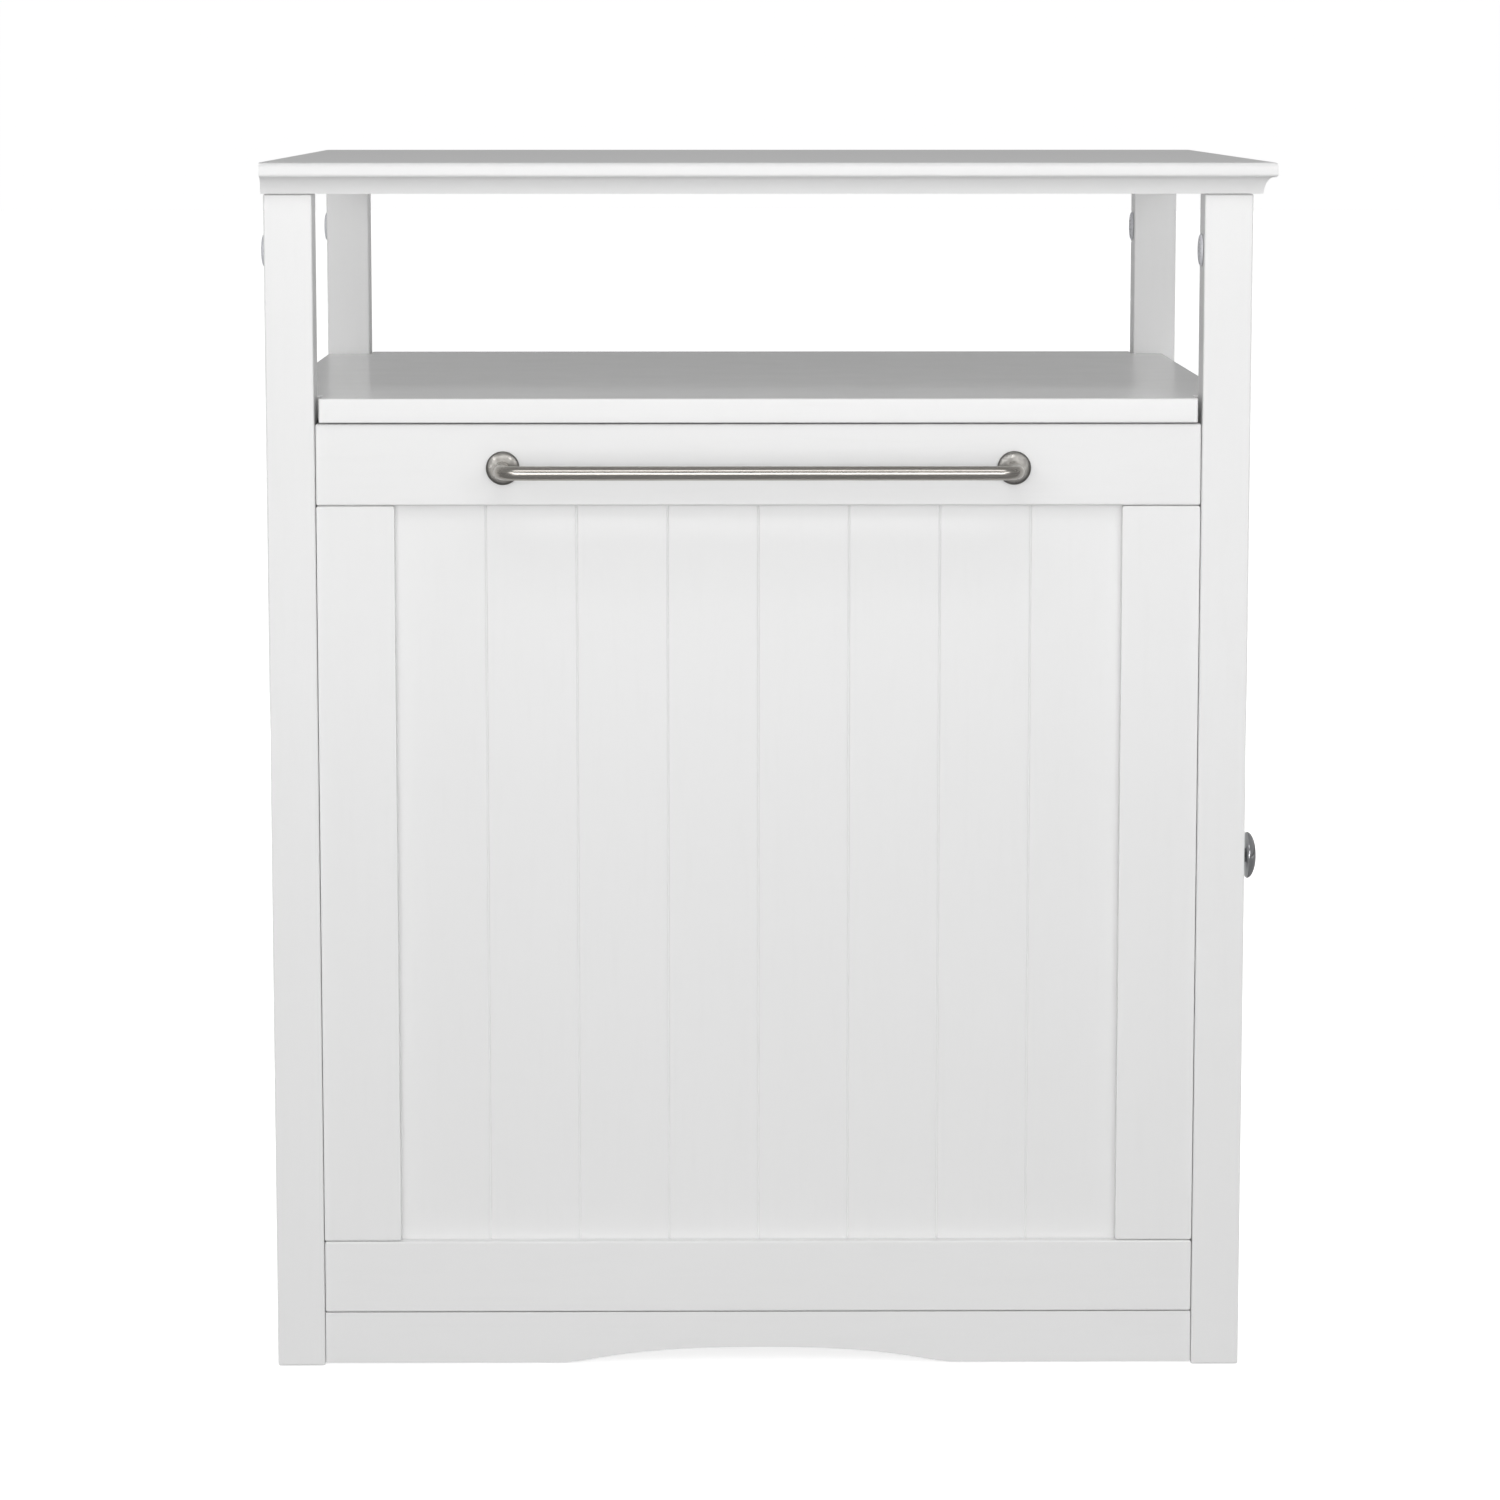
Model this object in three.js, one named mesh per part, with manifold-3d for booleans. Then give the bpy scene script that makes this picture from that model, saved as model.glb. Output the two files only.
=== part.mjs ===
// Free-standing kitchen bin cabinet: four square posts carry a moulded top board and, below an open
// bay, a closed cupboard. The beadboard front pulls out on ball-bearing slides with two bins behind
// it, and a narrow side cupboard opens with a hinged door on the right.
//
// Millimetres, +Z up. The front faces -Y and the door side is +X. The pieces are laid out from the
// centre of the posts, the front faces of the front posts and the floor; the last lines move the
// whole cabinet so that the origin is at the middle of its box, on the floor.

import * as THREE from 'three';
import { mergeVertices } from 'three/addons/utils/BufferGeometryUtils.js';
import Module from 'manifold-3d';

const wasm = await Module();
wasm.setup();

// ---- driving dimensions -------------------------------------------------------------------------

const fit = 0.3; // gap between pieces that touch

// posts
const postSize = 30;
const postSpan = 612; // left to right over the posts
const postDepth = 535.6; // front to back over the posts
const postHeight = 742.4;

// top board
const topZ = 762;
const topBottomZ = 742.7;
const slabZ = 752.9; // underside of the square edge, above the cove
const topOverhang = 13; // at the front
const topRightOverhang = 13.8;
const topLeftOverhang = 1.2;
const topBackOverhang = 1.9;
const edgeRound = 2.6;
const lowerEdgeRound = 2;
const coveFootX = 4.6; // how far the foot of the cove stands out from the posts
const coveTopX = 9.6; // where the cove meets the underside of the square edge

// middle shelf
const shelfTopZ = 616.2;
const shelfBottomZ = 601;
const shelfPostGap = 2.7;
const sideReveal = 9; // the door and the shelf edge sit this far inside the post face

// cupboard boards
const board = 18;
const thinBoard = 12;
const backBoard = 6;
const apronBottomZ = 1;
const apronTopZ = 33.9;
const floorBoardTopZ = 32;
const floorBoardThickness = 15;
const backBottomZ = 5;
const archHalfWidth = 122;
const archRise = 9.9;

// framed beadboard fronts, shared by the pull-out front and the side door
const frontReveal = 3; // the pull-out front sits this far behind the post faces
const frontBottomZ = 34.3;
const frontTopZ = 600.2;
const headerHeight = 50.9;
const bottomRailHeight = 45.8;
const stileWidth = 48.5;
const panelRecess = 8;
const panelThickness = 6;
const panelLip = 8; // how far the panel runs behind the frame
const beadPitch = 56.75;
const grooveWidth = 1.8;
const grooveDepth = 0.8;

// pull-out
const partitionX = 150; // left face of the partition beside the pull-out
const slideLength = 450;
const slideThickness = 12.7;
const slideHalfHeight = 22.5;
const slideZ = 112;
const slideFrontY = 23;
const slideWallX = 1; // the left slide's board stands this far out from the posts' inner faces
const boxBottomZ = 45;
const boxTopZ = 185;
const boxBackY = 473;
const boxFrontY = frontReveal + board + fit;

// bins
const binTopZ = 527;
const binRim = 8;
const binWall = 2.2;
const binTaper = 15; // how far each side leans in, from top to bottom
const binMargin = 2.7;
const binGap = 6;

// handle and knob
const handleSpacing = 318.5;
const handleZ = 572.8;
const handleReach = 40; // centre of the bar in front of the post faces
const barRadius = 4.4;
const bendRadius = 10;
const flangeRadius = 10.5;
const flangeThickness = 2.7;
const knobProjection = 22.3;
const knobRadius = 14.8;
const knobRimZ = 16.8; // widest part of the knob, out from the door
const knobFootRadius = 8;
const knobNeckRadius = 5.5;
const knobY = 58;
const knobZ = 319.8;

// cam caps on the posts
const capRadius = 10;
const capHeight = 2.4;
const capRim = 0.7; // straight part of a cap's edge
const capZ = 707.5;

// side door and its butt hinges
const doorGap = 2; // between the door's edges and the posts
const pinRadius = 1.5;
const barrelRadius = 3;
const leafThickness = 1.2;
const leafHeight = 50;
const leafWidth = 28;
const hingeInset = 85; // centre of a hinge from the door's end

// places worked out from them
const postX = postSpan / 2;
const innerX = postX - postSize;
const rearPostY = postDepth - postSize;
const doorFaceX = postX - sideReveal;
const doorBackX = doorFaceX - board;
const frontHalfWidth = innerX - fit;
const boxLeftX = -innerX + slideWallX + slideThickness + fit;
const boxRightX = partitionX - fit - slideThickness - fit;

// ---- materials ----------------------------------------------------------------------------------

function paint(color, roughness, metalness = 0) {
  return () => new THREE.MeshStandardMaterial({ color, roughness, metalness });
}

const whitePaint = paint(0xf1f0ee, 0.42);
const whiteBoard = paint(0xe9e8e4, 0.6);
const capPlastic = paint(0xf3f3f2, 0.35);
const binPlastic = paint(0x3d4146, 0.55);
const zincSteel = paint(0xb9bcc0, 0.35, 1);
const brushedNickel = paint(0xc9c3b8, 0.3, 1);
const chrome = paint(0xd9dbde, 0.08, 1);
const magnetPlastic = paint(0x6b4a33, 0.5);

// ---- solids -------------------------------------------------------------------------------------

function toSolid(geometry) {
  const bare = geometry.clone();
  bare.deleteAttribute('normal');
  bare.deleteAttribute('uv');
  const merged = mergeVertices(bare, 1e-4);
  return new wasm.Manifold(new wasm.Mesh({
    numProp: 3,
    vertProperties: new Float32Array(merged.attributes.position.array),
    triVerts: new Uint32Array(merged.index.array),
  }));
}

function toGeometry(solid) {
  const mesh = solid.getMesh();
  const geometry = new THREE.BufferGeometry();
  geometry.setAttribute('position', new THREE.BufferAttribute(mesh.vertProperties, 3));
  geometry.setIndex(new THREE.BufferAttribute(mesh.triVerts, 1));
  geometry.computeVertexNormals();
  return geometry;
}

function cut(geometry, ...tools) {
  return toGeometry(tools.reduce((rest, tool) => rest.subtract(toSolid(tool)), toSolid(geometry)));
}

function join(geometry, ...others) {
  return toGeometry(others.reduce((whole, other) => whole.add(toSolid(other)), toSolid(geometry)));
}

function common(first, second) {
  return toGeometry(toSolid(first).intersect(toSolid(second)));
}

function block(x0, x1, y0, y1, z0, z1) {
  const box = new THREE.BoxGeometry(x1 - x0, y1 - y0, z1 - z0);
  return box.translate((x0 + x1) / 2, (y0 + y1) / 2, (z0 + z1) / 2);
}

function outline(points) {
  return new THREE.Shape(points.map(([u, v]) => new THREE.Vector2(u, v)));
}

function extrude(shape, depth, curveSegments = 6) {
  return new THREE.ExtrudeGeometry(shape, { depth, bevelEnabled: false, curveSegments });
}

// a section drawn in (Y, Z) and run along X
function alongX(shape, x0, x1, curveSegments) {
  const turn = new THREE.Matrix4().makeBasis(
    new THREE.Vector3(0, 1, 0),
    new THREE.Vector3(0, 0, 1),
    new THREE.Vector3(1, 0, 0),
  );
  return extrude(shape, x1 - x0, curveSegments).applyMatrix4(turn).translate(x0, 0, 0);
}

// a section drawn in (X, Z) and run along Y
function alongY(shape, y0, y1, curveSegments) {
  return extrude(shape, y1 - y0, curveSegments).rotateX(Math.PI / 2).translate(0, y1, 0);
}

// a plan drawn in (X, Y) and run along Z
function alongZ(shape, z0, z1, curveSegments) {
  return extrude(shape, z1 - z0, curveSegments).translate(0, 0, z0);
}

// a turned piece: profile points are [radius, height], with the axis along +Z
function turned(points, segments = 24) {
  return new THREE.LatheGeometry(points.map(([r, h]) => new THREE.Vector2(r, h)), segments)
    .rotateX(Math.PI / 2);
}

function rod(radius, length, segments = 16) {
  return new THREE.CylinderGeometry(radius, radius, length, segments).rotateX(Math.PI / 2)
    .translate(0, 0, length / 2);
}

const cabinet = new THREE.Group();

function place(name, geometry, material, parent = cabinet) {
  const mesh = new THREE.Mesh(geometry, material());
  mesh.name = name;
  parent.add(mesh);
  return mesh;
}

// ---- posts and cam caps -------------------------------------------------------------------------

const postPlaces = [
  ['front_left', -postX, 0],
  ['front_right', innerX, 0],
  ['rear_left', -postX, rearPostY],
  ['rear_right', innerX, rearPostY],
];

for (const [corner, x, y] of postPlaces) {
  const post = place(`${corner}_post`, block(0, postSize, 0, postSize, 0, postHeight), whitePaint);
  post.position.set(x, y, 0);

  const dome = new THREE.Shape();
  dome.moveTo(0, 0);
  dome.lineTo(capRadius, 0);
  dome.lineTo(capRadius, capRim);
  dome.quadraticCurveTo(capRadius - 0.4, capHeight - fit, capRadius - 4, capHeight - fit);
  dome.lineTo(0, capHeight - fit);
  const profile = dome.getPoints(4).map((point) => [point.x, point.y]);
  const cap = place(`${corner}_cam_cap`, turned(profile, 28), capPlastic);
  cap.rotation.y = -Math.PI / 2;
  cap.position.set(x - fit, y + postSize / 2, capZ);
}

// ---- top board: one moulding on the front edge, mitred into the same one on the right -----------

function topEdge(inner) {
  const edge = new THREE.Shape();
  const slab = topOverhang;
  edge.moveTo(inner, topBottomZ);
  edge.lineTo(coveFootX, topBottomZ);
  edge.quadraticCurveTo(coveFootX + 1, slabZ - 2, coveTopX, slabZ);
  edge.lineTo(slab - lowerEdgeRound, slabZ);
  edge.quadraticCurveTo(slab, slabZ, slab, slabZ + lowerEdgeRound);
  edge.lineTo(slab, topZ - edgeRound);
  edge.quadraticCurveTo(slab, topZ, slab - edgeRound, topZ);
  edge.lineTo(inner, topZ);
  return edge;
}

const topDepth = postDepth + topBackOverhang;
const topLeftX = -postX - topLeftOverhang;
const topRightX = postX + topRightOverhang;
const frontMoulding = alongX(topEdge(-topDepth), -topRightX, -topLeftX, 4).rotateZ(Math.PI);
const rightMoulding = alongY(topEdge(topLeftX - topRightX), -topOverhang, topDepth, 4)
  .translate(topRightX - topOverhang, 0, 0);
place('top_board', common(frontMoulding, rightMoulding), whitePaint);

// ---- boards of the cupboard ---------------------------------------------------------------------

// a board that fills the cupboard's plan and is notched round the posts
function notchedPlan(frontX, leftX, rightX, frontY, backY) {
  const notchFront = postSize + fit;
  const notchBack = rearPostY - fit;
  const backX = innerX - fit;
  return outline([
    [-frontX, frontY], [frontX, frontY], [frontX, notchFront], [rightX, notchFront],
    [rightX, notchBack], [backX, notchBack], [backX, backY], [-backX, backY],
    [-backX, notchBack], [leftX, notchBack], [leftX, notchFront], [-frontX, notchFront],
  ]);
}

const shelfPlan = notchedPlan(innerX - shelfPostGap, -postX, doorFaceX, 0, postDepth);
place('middle_shelf', alongZ(shelfPlan, shelfBottomZ, shelfTopZ), whitePaint);

const panelFrontY = postSize + fit;
const panelBackY = rearPostY - fit;
const underShelfZ = shelfBottomZ - fit;
const sideInnerX = -postX + thinBoard; // inner face of the left side
const backY = postDepth - panelRecess;
const backInnerY = backY - backBoard;

const floorPlan = notchedPlan(
  innerX - fit, sideInnerX + fit, doorBackX - fit, frontReveal + board + fit, backInnerY - fit,
);
place(
  'bottom_board',
  alongZ(floorPlan, floorBoardTopZ - floorBoardThickness, floorBoardTopZ),
  whiteBoard,
);

place(
  'back_panel',
  block(-innerX + fit, innerX - fit, backInnerY, backY, backBottomZ, underShelfZ),
  whiteBoard,
);

const apron = new THREE.Shape();
apron.moveTo(-frontHalfWidth, apronBottomZ);
apron.lineTo(-archHalfWidth, apronBottomZ);
for (const side of [-1, 1]) {
  const foot = [side * archHalfWidth, apronBottomZ];
  const crown = [0, apronBottomZ + archRise];
  const nearFoot = [side * archHalfWidth * 0.8, apronBottomZ + archRise * 0.24];
  const nearCrown = [side * archHalfWidth * 0.67, crown[1]];
  if (side < 0) apron.bezierCurveTo(...nearFoot, ...nearCrown, ...crown);
  else apron.bezierCurveTo(...nearCrown, ...nearFoot, ...foot);
}
apron.lineTo(frontHalfWidth, apronBottomZ);
apron.lineTo(frontHalfWidth, apronTopZ);
apron.lineTo(-frontHalfWidth, apronTopZ);
place('front_apron', alongY(apron, frontReveal, frontReveal + board, 10), whitePaint);

place(
  'right_apron',
  block(doorBackX, doorFaceX, panelFrontY, panelBackY, apronBottomZ, apronTopZ),
  whitePaint,
);

const partitionFrontY = boxFrontY + 5;
const behindDoor = 1.5; // clear space between the cupboard's front board and the side door
const partitionRightX = partitionX + thinBoard;
const aboveFloorZ = floorBoardTopZ + fit;
place(
  'partition',
  block(
    partitionX, partitionRightX, partitionFrontY, backInnerY - fit, aboveFloorZ, underShelfZ,
  ),
  whiteBoard,
);

const closingBackY = partitionFrontY + thinBoard;
place(
  'side_cupboard_front_board',
  cut(
    block(
      partitionRightX + fit, doorBackX - behindDoor, partitionFrontY, closingBackY,
      aboveFloorZ, underShelfZ,
    ),
    block(innerX - fit, postX, 0, postSize + fit, 0, topZ),
  ),
  whiteBoard,
);

const cupboardShelfBottomZ = 310;
const cleatWidth = 12;
const cleatHeight = 18;
place(
  'side_cupboard_shelf',
  block(
    partitionRightX + fit, innerX - fit, closingBackY + fit, backInnerY - fit,
    cupboardShelfBottomZ, cupboardShelfBottomZ + thinBoard,
  ),
  whiteBoard,
);
place(
  'side_cupboard_shelf_cleat',
  block(
    partitionRightX + fit, partitionRightX + cleatWidth, closingBackY + fit, backInnerY - fit,
    cupboardShelfBottomZ - fit - cleatHeight, cupboardShelfBottomZ - fit,
  ),
  whiteBoard,
);

place(
  'slide_spacer_rail',
  block(
    sideInnerX + fit, -innerX + slideWallX - fit, panelFrontY, panelBackY,
    slideZ - board * 2, slideZ + board * 2,
  ),
  whiteBoard,
);

// ---- beadboard: boards side by side with V grooves, front face on y = 0 -------------------------

function beadboard(width, height, visibleWidth, boards) {
  const points = [[-width / 2, panelThickness], [-width / 2, 0]];
  const pitch = visibleWidth / boards;
  for (let index = 1; index < boards; index += 1) {
    const x = -visibleWidth / 2 + pitch * index;
    points.push([x - grooveWidth / 2, 0], [x, grooveDepth], [x + grooveWidth / 2, 0]);
  }
  points.push([width / 2, 0], [width / 2, panelThickness]);
  return alongZ(outline(points), 0, height);
}

const sideBoards = Math.round((panelBackY - panelFrontY) / beadPitch);
const leftSide = beadboard(
  panelBackY - panelFrontY, underShelfZ - backBottomZ, panelBackY - panelFrontY, sideBoards,
);
const leftBacking = block(
  -(panelBackY - panelFrontY) / 2, (panelBackY - panelFrontY) / 2,
  panelThickness - 1, thinBoard, 0, underShelfZ - backBottomZ,
);
const leftPanel = place('left_side_panel', join(leftSide, leftBacking), whitePaint);
leftPanel.rotation.z = -Math.PI / 2;
leftPanel.position.set(-postX, (panelFrontY + panelBackY) / 2, backBottomZ);

// ---- framed beadboard front: rails run the full width, stiles stand between them ----------------
// Local frame: x across from the middle, front face on y = 0, z up from the bottom edge.

function framedFront(prefix, width, height, boards, holes) {
  const front = new THREE.Group();
  const half = width / 2;
  const openingHalf = half - stileWidth;
  const headerZ = height - headerHeight;
  const pocket = block(
    -openingHalf - panelLip - fit, openingHalf + panelLip + fit, panelRecess - fit, board + 1,
    bottomRailHeight - panelLip - fit, headerZ + panelLip + fit,
  );
  const drilled = (geometry) => cut(geometry, pocket, ...holes);
  place(
    `${prefix}_header`, drilled(block(-half, half, 0, board, headerZ, height)), whitePaint, front,
  );
  place(
    `${prefix}_bottom_rail`,
    drilled(block(-half, half, 0, board, 0, bottomRailHeight)), whitePaint, front,
  );
  for (const [side, sign] of [['left', -1], ['right', 1]]) {
    const edges = [sign * half, sign * openingHalf].sort((a, b) => a - b);
    const stile = block(...edges, 0, board, bottomRailHeight + fit, headerZ - fit);
    place(`${prefix}_${side}_stile`, drilled(stile), whitePaint, front);
  }
  const panelHeight = headerZ - bottomRailHeight + panelLip * 2;
  const panel = beadboard(
    (openingHalf + panelLip) * 2, panelHeight, openingHalf * 2, boards,
  );
  const mesh = place(`${prefix}_bead_panel`, panel, whitePaint, front);
  mesh.position.set(0, panelRecess, bottomRailHeight - panelLip);
  return front;
}

const frontHeight = frontTopZ - frontBottomZ;
const screwHole = 2.4;
const screwRadius = 1.8;
const screwHead = 4;
const screwHeadHeight = 2.2;
const screwGrip = 9; // how far a screw runs into the handle or the knob

// a hole through a front, along its local y
function frontHole(x, z) {
  return rod(screwHole, board + 4).rotateX(-Math.PI / 2).translate(x, -2, z);
}

const frontHoles = [-1, 1].map(
  (side) => frontHole((side * handleSpacing) / 2, handleZ - frontBottomZ),
);
const frontBoards = Math.round(((frontHalfWidth - stileWidth) * 2) / beadPitch);
const pullOutFront = framedFront(
  'pull_out', frontHalfWidth * 2, frontHeight, frontBoards, frontHoles,
);
pullOutFront.position.set(0, frontReveal, frontBottomZ);
cabinet.add(pullOutFront);

const doorFrontY = postSize + doorGap;
const doorBackY = rearPostY - doorGap;
const doorWidth = doorBackY - doorFrontY;
const doorCentreY = (doorFrontY + doorBackY) / 2;
const doorBoards = Math.round((doorWidth - stileWidth * 2) / beadPitch);
const sideDoor = framedFront(
  'side_door', doorWidth, frontHeight, doorBoards,
  [frontHole(knobY - doorCentreY, knobZ - frontBottomZ)],
);
sideDoor.rotation.z = Math.PI / 2;
sideDoor.position.set(doorFaceX, doorCentreY, frontBottomZ);
cabinet.add(sideDoor);

// ---- handle, knob and their screws --------------------------------------------------------------
// Local frame of each: z points out of the face it is screwed to.

// a path of straight stretches and quarter bends, with one step per stretch and bendSteps per bend
const bendSteps = 6;

class HandlePath extends THREE.Curve {
  constructor(span, reach, radius) {
    super();
    const half = span / 2;
    this.nodes = [new THREE.Vector3(-half, 0, 0)];
    for (const side of [-1, 1]) {
      for (let step = 0; step <= bendSteps; step += 1) {
        const turn = (step / bendSteps) * (Math.PI / 2);
        const angle = side < 0 ? turn : Math.PI / 2 - turn;
        const x = side * (half - radius + radius * Math.cos(angle));
        this.nodes.push(new THREE.Vector3(x, 0, reach - radius + radius * Math.sin(angle)));
      }
    }
    this.nodes.push(new THREE.Vector3(half, 0, 0));
    this.steps = this.nodes.length - 1;
  }

  getPoint(t, target = new THREE.Vector3()) {
    const along = Math.min(Math.max(t, 0), 1) * this.steps;
    const index = Math.min(Math.floor(along), this.steps - 1);
    return target.lerpVectors(this.nodes[index], this.nodes[index + 1], along - index);
  }

  getPointAt(t, target) {
    return this.getPoint(t, target);
  }

  getTangentAt(t, target) {
    return this.getTangent(t, target);
  }
}

function circle(radius, sides) {
  const points = [];
  for (let index = 0; index < sides; index += 1) {
    const angle = (index / sides) * Math.PI * 2;
    points.push([radius * Math.cos(angle), radius * Math.sin(angle)]);
  }
  return outline(points);
}

function screw(length) {
  return turned([
    [0, 0], [screwHead * 0.7, 0], [screwHead, screwHeadHeight * 0.6], [screwHead, screwHeadHeight],
    [screwRadius, screwHeadHeight], [screwRadius, screwHeadHeight + length],
    [0, screwHeadHeight + length],
  ], 16);
}

const handle = new THREE.Group();
handle.rotation.x = Math.PI / 2;
handle.position.set(0, frontReveal, handleZ);
cabinet.add(handle);

const legStart = flangeThickness + fit * 2;
const barReach = handleReach + frontReveal - legStart;
const barPath = new HandlePath(handleSpacing, barReach, bendRadius);
const bar = new THREE.ExtrudeGeometry(circle(barRadius, 16), {
  steps: barPath.steps,
  extrudePath: barPath,
  bevelEnabled: false,
}).translate(0, 0, legStart);
const tappedHoles = [-1, 1].map(
  (side) => rod(2, screwGrip + legStart + 1).translate((side * handleSpacing) / 2, 0, 0),
);
place('handle_bar', cut(bar, ...tappedHoles), brushedNickel, handle);

for (const [side, sign] of [['left', -1], ['right', 1]]) {
  const x = (sign * handleSpacing) / 2;
  const flange = turned([
    [screwHole, 0], [flangeRadius, 0], [flangeRadius, flangeThickness - 1],
    [flangeRadius - 1, flangeThickness], [screwHole, flangeThickness], [screwHole, 0],
  ], 28);
  place(`handle_${side}_flange`, flange, brushedNickel, handle).position.set(x, 0, fit);
  const length = board + fit + legStart + screwGrip - 1;
  place(`handle_${side}_screw`, screw(length), zincSteel, handle)
    .position.set(x, 0, -board - fit - screwHeadHeight);
}

const knob = new THREE.Group();
knob.rotation.y = Math.PI / 2;
knob.position.set(doorFaceX, knobY, knobZ);
cabinet.add(knob);

const knobShape = new THREE.Shape();
const knobFootTop = fit + 1.5;
const knobDome = knobProjection - knobRimZ;
knobShape.moveTo(0, fit);
knobShape.lineTo(knobFootRadius, fit);
knobShape.lineTo(knobFootRadius, knobFootTop);
knobShape.quadraticCurveTo(knobNeckRadius, knobFootTop + 2, knobNeckRadius, knobRimZ / 2);
knobShape.quadraticCurveTo(knobNeckRadius, knobRimZ - 3, knobRadius - 2, knobRimZ - 1.6);
knobShape.quadraticCurveTo(knobRadius, knobRimZ - 1.2, knobRadius, knobRimZ);
knobShape.absellipse(0, knobRimZ, knobRadius, knobDome, 0, Math.PI / 2);
const knobProfile = knobShape.getPoints(5).map((point) => [point.x, point.y]);
const knobHole = rod(2, screwGrip + 1);
place('side_door_knob', cut(turned(knobProfile, 28), knobHole), chrome, knob);
place('side_door_knob_screw', screw(board + fit + screwGrip - 1), zincSteel, knob)
  .position.set(0, 0, -board - fit - screwHeadHeight);

// ---- ball-bearing slides ------------------------------------------------------------------------
// Section of one slide: x out from the board it is screwed to, z up from its middle.

const slideGauge = 1.1;

// a channel with its web at x = web and its two flanges reaching to x = lip
function channel(web, lip, half, turnedIn = 0) {
  const gauge = Math.sign(lip - web) * slideGauge;
  const lower = [[web, -half], [lip, -half]];
  if (turnedIn > 0) lower.push([lip, -half + turnedIn], [lip - gauge, -half + turnedIn]);
  const flangeEnd = turnedIn > 0 ? lip - gauge : lip;
  lower.push([flangeEnd, -half + slideGauge], [web + gauge, -half + slideGauge]);
  const upper = lower.map(([x, z]) => [x, -z]).reverse();
  return [...lower, ...upper];
}

const slideSections = {
  cabinet_member: channel(0, 9.6, slideHalfHeight, 3),
  middle_member: channel(2.6, 10.4, 17.6),
  drawer_member: channel(slideThickness, 5, 14),
};

for (const [side, sign, wallX] of [['left', 1, slideWallX - innerX], ['right', -1, partitionX - fit]]) {
  for (const [member, section] of Object.entries(slideSections)) {
    const shape = outline(section.map(([x, z]) => [sign * x, z]));
    const slide = alongY(shape, 0, slideLength);
    place(`${side}_slide_${member}`, slide, zincSteel).position.set(wallX, slideFrontY, slideZ);
  }
}

// ---- pull-out box -------------------------------------------------------------------------------

const boxInnerLeftX = boxLeftX + thinBoard;
const boxInnerRightX = boxRightX - thinBoard;
const boxInnerFrontY = boxFrontY + thinBoard;
const boxInnerBackY = boxBackY - thinBoard;
const boxBaseTopZ = boxBottomZ + thinBoard;
const boxSides = {
  pull_out_box_left: [boxLeftX, boxInnerLeftX, boxFrontY, boxBackY, boxBottomZ],
  pull_out_box_right: [boxInnerRightX, boxRightX, boxFrontY, boxBackY, boxBottomZ],
  pull_out_box_front: [
    boxInnerLeftX + fit, boxInnerRightX - fit, boxFrontY, boxInnerFrontY, boxBottomZ,
  ],
  pull_out_box_back: [
    boxInnerLeftX + fit, boxInnerRightX - fit, boxInnerBackY, boxBackY, boxBottomZ,
  ],
};
for (const [name, [x0, x1, y0, y1, z0]] of Object.entries(boxSides)) {
  place(name, block(x0, x1, y0, y1, z0, boxTopZ), whiteBoard);
}
place(
  'pull_out_box_base',
  block(
    boxInnerLeftX + fit, boxInnerRightX - fit, boxInnerFrontY + fit, boxInnerBackY - fit,
    boxBottomZ, boxBaseTopZ,
  ),
  whiteBoard,
);

// ---- bins: tapered shells with a turned-down rim ------------------------------------------------

function roundedRectangle(width, depth, radius) {
  const x = width / 2;
  const y = depth / 2;
  const shape = new THREE.Shape();
  shape.moveTo(-x + radius, -y);
  shape.lineTo(x - radius, -y);
  shape.absarc(x - radius, -y + radius, radius, -Math.PI / 2, 0);
  shape.lineTo(x, y - radius);
  shape.absarc(x - radius, y - radius, radius, 0, Math.PI / 2);
  shape.lineTo(-x + radius, y);
  shape.absarc(-x + radius, y - radius, radius, Math.PI / 2, Math.PI);
  shape.lineTo(-x, -y + radius);
  shape.absarc(-x + radius, -y + radius, radius, Math.PI, Math.PI * 1.5);
  return shape;
}

// a block with rounded corners that narrows towards its foot
function tapered(width, depth, radius, taper, z0, z1) {
  const geometry = alongZ(roundedRectangle(width, depth, radius), z0, z1, 4);
  const position = geometry.attributes.position;
  for (let index = 0; index < position.count; index += 1) {
    if (position.getZ(index) < (z0 + z1) / 2) {
      position.setX(index, position.getX(index) * (1 - (taper * 2) / width));
      position.setY(index, position.getY(index) * (1 - (taper * 2) / depth));
    }
  }
  return geometry;
}

const binWidth = boxInnerRightX - boxInnerLeftX - binMargin * 2;
const binDepth = (boxInnerBackY - boxInnerFrontY - binMargin * 2 - binGap) / 2;
const binHeight = binTopZ - boxBaseTopZ - fit;
const binCorner = 28;
const rimHeight = 12;

function bin() {
  const width = binWidth - binRim * 2;
  const depth = binDepth - binRim * 2;
  const rim = alongZ(
    roundedRectangle(binWidth, binDepth, binCorner + binRim), binHeight - rimHeight, binHeight, 4,
  );
  const underRim = alongZ(
    roundedRectangle(binWidth - binWall * 2, binDepth - binWall * 2, binCorner + binRim - binWall),
    binHeight - rimHeight - 1, binHeight - binWall, 4,
  );
  const inside = tapered(
    width - binWall * 2, depth - binWall * 2, binCorner - binWall, binTaper,
    binWall + 1, binHeight + 1,
  );
  const shell = tapered(width, depth, binCorner, binTaper, 0, binHeight);
  return cut(join(shell, cut(rim, underRim)), inside);
}

const binX = (boxInnerLeftX + boxInnerRightX) / 2;
const firstBinY = boxInnerFrontY + binMargin + binDepth / 2;
['front', 'rear'].forEach((name, index) => {
  place(`${name}_bin`, bin(), binPlastic)
    .position.set(binX, firstBinY + index * (binDepth + binGap), boxBaseTopZ + fit);
});

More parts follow.
